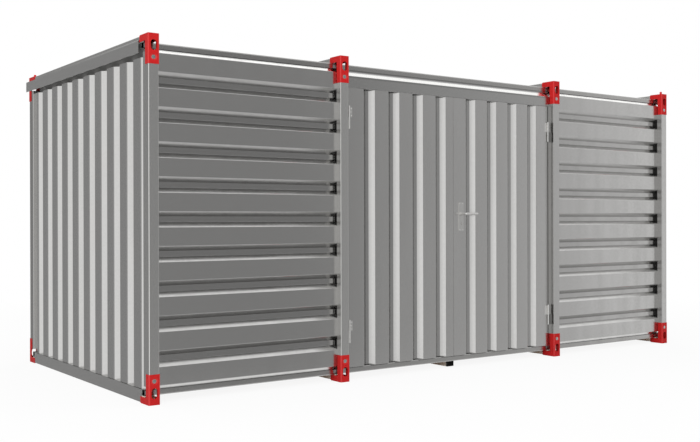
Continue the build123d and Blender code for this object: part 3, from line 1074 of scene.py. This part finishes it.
    def shaded_end_wall(self) -> ZincFinish:
        """Give the end walls' finish, with a dark line of painted shade on the flanks beside each ridge.

        Returns:
            The finish of the end walls.
        """
        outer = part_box("right_end_wall")[1][0]
        start, stop = (outer - depth for depth in self.wall_ridge)
        ridge = Bound(Reading.PLACE, Axis.X, start, stop)
        flank = Bound(Reading.FACING, Axis.Y, *self.wall_flank)
        return replace(self.sheet, name="end_wall_shade_zinc", dust_and_shade=(DustAndShade(self.wall_ridge_shade_share, (ridge, flank)),))

    def shaded_hinges(self) -> ZincFinish:
        """Give the fixed hinge halves' finish, with painted shade on the right-hand ones.

        Returns:
            The finish of the fixed hinge halves.
        """
        right = Bound(Reading.PLACE, Axis.X, *self.hinge_shade_from, both_ways=False)
        away = Bound(Reading.FACING, Axis.X, *self.hinge_shade_facing, both_ways=False)
        return replace(self.bright, name="shaded_hinge", dust_and_shade=(DustAndShade(self.hinge_shade_share, (right, away)),))

    def plugged_skid(self) -> WornSteelFinish:
        """Give the skids' finish, with the middle skid's ends black where the plugs sit.

        Returns:
            The finish of the skids.
        """
        low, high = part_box("skid_plugs")
        middle = (low[1] + high[1]) / 2
        unmarked = high[1] - middle - self.plug_depth
        ends = Bound(Reading.PLACE, Axis.Y, unmarked, unmarked + self.sharp_edge, middle)
        one = Bound(Reading.PLACE, Axis.X, 2 * high[0], 2 * high[0] - self.sharp_edge)
        return replace(self.skid, dust_and_shade=(DustAndShade(1.0, (ends, one)),))

    def own_finishes(self) -> dict[str, Material]:
        """Build the finishes that some nodes have for themselves.

        Returns:
            The materials by the end of the names of the nodes that they dress.
        """
        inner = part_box("front_right_inner_post")[1][0]
        start, stop = self.leaning
        under = Bound(Reading.FACING, Axis.Z, -start, -stop, both_ways=False)
        over = Bound(Reading.FACING, Axis.Z, start, stop, both_ways=False)
        beside_doors = Bound(Reading.PLACE, Axis.X, inner, inner + self.sharp_edge)
        # Faces that lean up on the roof rails, beams and fascia take a darker tone.
        upward_darkening = DustAndShade(self.upward_darkening_share, (over,))
        # Painted shade: dark lines on the roof rails' undersides and on the base rails' upward ledges in the
        # bays beside the doors, where they meet the panels.
        rail_darkening = (DustAndShade(self.ledge_shade_share, (under,)), upward_darkening)
        ledge_shade = (DustAndShade(self.ledge_shade_share, (over, beside_doors)),)
        # Painted shade in the grooves behind the faces of the long walls, fainter on the right panel.
        grooves = (self.behind_walls(self.groove_shade_depths),)
        right_groove_shade = (DustAndShade(self.right_groove_shade_share, grooves),)
        post = self.shaded_post()
        # The right posts take the sheet's darker tones as painted shade.
        right_post_shade = replace(post, name="shaded_right_post", light=self.sheet.light, dark=self.sheet.dark)
        right_post = right_post_shade.build()
        dusty_and_shaded = replace(self.sheet, name="groove_shade_zinc", dust_and_shade=(DustAndShade(self.groove_shade_share, grooves),)).build()
        roof = self.roof.build()
        return {
            # The rear-left corner post takes the duller zinc, a darker copy that is painted shade.
            "rear_left_corner_post": self.dull.build(),
            "door_jambs": self.jamb.build(),
            "right_corner_post": right_post,
            "right_inner_post": right_post,
            "_post": post.build(),
            "right_panel": replace(self.sheet, name="right_groove_shade_zinc", dust_and_shade=right_groove_shade).build(),
            "_panel": dusty_and_shaded,
            "_door": dusty_and_shaded,
            "_roof_rail": replace(self.dull, name="roof_rail_zinc", dust_and_shade=rail_darkening).build(),
            "roof_beams": replace(self.section, name="beam_zinc", dust_and_shade=(upward_darkening,)).build(),
            "_fascia": replace(self.sheet, name="fascia_zinc", dust_and_shade=(upward_darkening,)).build(),
            "_base_rail": replace(self.dull, name="base_rail_zinc", dust_and_shade=ledge_shade).build(),
            "_header": self.header_painted_light().build(),
            "_end_wall": self.shaded_end_wall().build(),
            "post_hinges": self.shaded_hinges().build(),
            "skids": self.plugged_skid().build(),
            "_head_rails": self.primer.build(),
            "roof_sheet": roof,
            "rear_eaves": roof,
        }

    def dress(self) -> dict[str, Material]:
        """Build the finishes and put them on the CAD nodes by their record slots.

        Returns:
            The materials by record slot.
        """
        built = {
            "galvanised_sheet": self.sheet.build(),
            "galvanised_frame": self.section.build(),
            "hinge_steel": self.bright.build(),
            "lock_steel": self.lock.build(),
            "red_fittings": self.red.build(),
            "black_plugs": self.plug.build(),
            "floor_board": self.board.build(),
        }
        own = self.own_finishes()
        own["_end_rail"] = built["galvanised_sheet"]
        for part in frame["record"]["subparts"]:
            node = part["node"]
            endings = [ending for ending in own if node.endswith(ending)]
            put_finish(frame["nodes"][node], own[endings[0]] if endings else built[part["material_slot"]])
            LOG.info("dressed %s in %s", node, part["material_slot"])
        return built


@dataclass(frozen=True)
class Card:
    """A flat grey card that only the mirror-like sheets see.

    The stops are places along one axis with the card's brightness there, and the strength says how many
    times that brightness it shows.
    """

    name: str
    low: Point
    high: Point
    stops: tuple[Span, ...]
    strength: float = 1.0
    along: Axis = Axis.X


@dataclass(frozen=True)
class Lamp:
    """A soft box: where it hangs, the point that it faces, its width and height, and its power."""

    name: str
    place: Point
    aim: Point
    size: Span
    energy: float


@dataclass
class Studio:
    """A pale floor, soft lamps, and grey cards round the container that the bright sheets mirror."""

    floor_size: float = 60.0
    floor_cells: int = 8
    card_cells: int = 4
    floor_colour: Colour = (0.86, 0.86, 0.86, 1.0)
    floor_glow: Span = (0.90, 1.0)
    floor_glow_range: Span = (2.5, 7.0)
    world_light: float = 0.5
    second_mirror: float = 0.86
    cards: tuple[Card, ...] = (
        Card(
            "front_card",
            (-1.6, -8.0, -4.5),
            (12.5, -8.0, 5.2),
            ((-1.6, 0.277), (3.8, 0.277), (4.0, 0.345), (4.5, 0.385), (8.2, 0.50), (9.0, 0.59), (12.0, 0.87)),
        ),
        Card(
            "rear_card",
            (-12.0, 8.0, -4.5),
            (12.5, 8.0, 5.2),
            ((-12.0, 0.31), (1.6, 0.31), (4.0, 0.36), (12.5, 0.55)),
        ),
        Card(
            "right_card", (12.5, -8.0, -4.5), (12.5, 8.0, 5.2), ((-8.0, 0.55), (8.0, 0.40)), along=Axis.Y
        ),
        Card("ground_card", (-12.0, 1.5, -4.5), (12.5, 8.0, -4.5), ((-12.0, 0.42), (12.5, 0.42))),
        Card("overhead_card", (-1.7, -0.8, 6.5), (9.3, 3.6, 6.5), ((-1.7, 1.0), (9.3, 1.0)), strength=1.8),
        Card("floor_card", (-3.0, -3.2, -0.5), (7.5, -1.15, -0.5), ((-3.0, 0.62), (7.5, 0.62))),
    )
    lamps: tuple[Lamp, ...] = (
        Lamp("overhead_lamp", (0.0, 0.0, 6.6), (0.0, 0.0, 0.0), (9.0, 7.0), 356.2566),
        Lamp("front_lamp", (-9.0, -8.5, 5.0), (-1.0, 0.0, 1.0), (4.5, 4.5), 520.0),
    )

    def background_mask(self, tree: NodeTree) -> NodeSocket:
        """Add the nodes that tell the rays which show the background.

        Args:
            tree: The node tree.

        Returns:
            One for camera, glossy and transmission rays, otherwise zero.
        """
        path = tree.nodes.new("ShaderNodeLightPath")
        seen = path.outputs["Is Camera Ray"]
        for kind in ("Is Glossy Ray", "Is Transmission Ray"):
            either = tree.nodes.new("ShaderNodeMath")
            either.operation = "MAXIMUM"
            tree.links.new(seen, either.inputs[0])
            tree.links.new(path.outputs[kind], either.inputs[1])
            seen = either.outputs[0]
        return seen

    def mirror_fade(self, tree: NodeTree, strength: float) -> NodeSocket:
        """Add the nodes that dim what shows in a mirror image of a mirror image.

        Args:
            tree: The node tree.
            strength: The full strength.

        Returns:
            The strength for the ray at hand.
        """
        path = tree.nodes.new("ShaderNodeLightPath")
        fade = tree.nodes.new("ShaderNodeMapRange")
        dimmed = strength * self.second_mirror
        limits = {"From Min": 1.0, "From Max": 2.0, "To Min": strength, "To Max": dimmed}
        for name, value in limits.items():
            fade.inputs[name].default_value = value
        tree.links.new(path.outputs["Glossy Depth"], fade.inputs["Value"])
        return fade.outputs["Result"]

    def build_world(self) -> None:
        """Make a white background with soft light from all round."""
        world = bpy.data.worlds.new("studio")
        bpy.context.scene.world = world
        world.use_nodes = True
        tree = world.node_tree
        tree.nodes.clear()
        white = tree.nodes.new("ShaderNodeBackground")
        white.inputs["Color"].default_value = WHITE
        tree.links.new(self.mirror_fade(tree, 1.0), white.inputs["Strength"])
        soft = tree.nodes.new("ShaderNodeBackground")
        soft.inputs["Color"].default_value = WHITE
        soft.inputs["Strength"].default_value = self.world_light
        mix = tree.nodes.new("ShaderNodeMixShader")
        output = tree.nodes.new("ShaderNodeOutputWorld")
        tree.links.new(self.background_mask(tree), mix.inputs[0])
        tree.links.new(soft.outputs[0], mix.inputs[1])
        tree.links.new(white.outputs[0], mix.inputs[2])
        tree.links.new(mix.outputs[0], output.inputs["Surface"])

    def build_floor(self) -> None:
        """Lay the pale floor, which shows near white and keeps a faint shadow."""
        start_piece()
        cells = self.floor_cells
        bpy.ops.mesh.primitive_grid_add(x_subdivisions=cells, y_subdivisions=cells, size=self.floor_size)
        floor = settle(bpy.context.object, "studio_floor")
        sheet = Sheet("pale_floor")
        matt = sheet.add("ShaderNodeBsdfDiffuse", Color=self.floor_colour)
        glow = sheet.add("ShaderNodeEmission", Color=WHITE, Strength=1.0)
        away = sheet.add("ShaderNodeVectorMath", operation="LENGTH")
        sheet.link(sheet.place(), away.inputs[0])
        level = sheet.spread(away.outputs["Value"], *self.floor_glow, *self.floor_glow_range)
        mix = sheet.add("ShaderNodeMixShader")
        sheet.link(sheet.combine(Operation.PRODUCT, self.background_mask(sheet.tree), level), mix.inputs[0])
        sheet.link(matt.outputs[0], mix.inputs[1])
        sheet.link(glow.outputs[0], mix.inputs[2])
        sheet.link(mix.outputs[0], sheet.output.inputs["Surface"])
        sheet.material.cycles.emission_sampling = "NONE"
        put_finish(floor, sheet.material)
        floor.visible_glossy = False

    def card_look(self, card: Card) -> Material:
        """Lay out a card's material, which glows with the card's brightness.

        Args:
            card: The card.

        Returns:
            The finished material.
        """
        sheet = Sheet(card.name)
        first, last = card.stops[0][0], card.stops[-1][0]
        ramp = sheet.add("ShaderNodeValToRGB")
        share = sheet.spread(sheet.along(Reading.PLACE, card.along), 0.0, 1.0, first, last)
        sheet.link(share, ramp.inputs["Fac"])
        elements = ramp.color_ramp.elements
        for place, _ in card.stops[1:-1]:
            elements.new((place - first) / (last - first))
        for element, (_, level) in zip(elements, card.stops):
            element.color = (level, level, level, 1.0)
        glow = sheet.add("ShaderNodeEmission")
        sheet.link(ramp.outputs["Color"], glow.inputs["Color"])
        sheet.link(self.mirror_fade(sheet.tree, card.strength), glow.inputs["Strength"])
        sheet.link(glow.outputs[0], sheet.output.inputs["Surface"])
        sheet.material.cycles.emission_sampling = "NONE"
        return sheet.material

    def build_card(self, card: Card) -> None:
        """Set up one card, which is flat along one axis.

        Args:
            card: The card.
        """
        low, high = Vector(card.low), Vector(card.high)
        size = high - low
        start_piece()
        cells = self.card_cells
        bpy.ops.mesh.primitive_grid_add(x_subdivisions=cells, y_subdivisions=cells, size=1.0)
        piece = bpy.context.object
        if size.y == 0.0:
            piece.scale, piece.rotation_euler = (size.x, size.z, 1.0), (math.pi / 2, 0.0, 0.0)
        elif size.x == 0.0:
            piece.scale, piece.rotation_euler = (size.z, size.y, 1.0), (0.0, math.pi / 2, 0.0)
        else:
            piece.scale = (size.x, size.y, 1.0)
        piece.location = (low + high) / 2
        settle(piece, card.name)
        put_finish(piece, self.card_look(card))
        piece.visible_camera = False
        piece.visible_diffuse = False
        piece.visible_transmission = False
        piece.visible_shadow = False

    def build_lamp(self, lamp: Lamp) -> None:
        """Hang one soft box, which the bright sheets don't mirror.

        Args:
            lamp: The lamp.
        """
        data = bpy.data.lights.new(lamp.name, "AREA")
        data.shape = "RECTANGLE"
        data.size, data.size_y = lamp.size
        data.energy = lamp.energy
        piece = bpy.data.objects.new(lamp.name, data)
        piece.location = lamp.place
        piece.rotation_euler = (Vector(lamp.aim) - Vector(lamp.place)).to_track_quat("-Z", "Y").to_euler()
        piece.visible_glossy = False
        bpy.context.collection.objects.link(piece)

    def build(self) -> None:
        """Set up the whole studio."""
        self.build_world()
        self.build_floor()
        for card in self.cards:
            self.build_card(card)
        for lamp in self.lamps:
            self.build_lamp(lamp)


@dataclass
class PhotoCamera:
    """The camera at the photograph's place."""

    place: Point = (-4.7995, -6.4302, 1.0884)
    yaw: float = 35.653
    pitch: float = -0.12
    roll: float = -0.124
    sensor: float = 36.0
    lens: float = 49.524
    shift: Span = (0.00064, 0.00244)

    def build(self) -> None:
        """Set up the camera and make it the scene's own."""
        data = bpy.data.cameras.new("photo_camera")
        data.sensor_fit = "HORIZONTAL"
        data.sensor_width = self.sensor
        data.lens = self.lens
        data.shift_x, data.shift_y = self.shift
        data.dof.use_dof = False
        camera = bpy.data.objects.new("photo_camera", data)
        turn = Matrix.Rotation(math.radians(-self.yaw), 4, "Z")
        tilt = Matrix.Rotation(math.pi / 2 + math.radians(self.pitch), 4, "X")
        spin = Matrix.Rotation(math.radians(self.roll), 4, "Z")
        camera.matrix_world = Matrix.Translation(self.place) @ turn @ tilt @ spin
        bpy.context.collection.objects.link(camera)
        bpy.context.scene.camera = camera


def main() -> None:
    """Dress the container, add its small pieces and set up the studio."""
    logging.basicConfig(level=logging.INFO, format="%(message)s")
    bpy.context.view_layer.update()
    bpy.context.scene.view_settings.view_transform = "Standard"
    PhotoCamera().build()
    finishes = Finishes().dress()
    for assembly in (
        FittingBolts(finishes["galvanised_sheet"]),
        HingeRivets(finishes["hinge_steel"]),
        MeetingStrip(finishes["galvanised_sheet"]),
        LeafHems(finishes["galvanised_sheet"]),
        WallFootStrips(finishes["galvanised_sheet"]),
        LockScrews(finishes["lock_steel"]),
    ):
        for piece in assembly.build():
            LOG.info("built %s", piece.name)
    Studio().build()


if __name__ == "__main__":
    main()
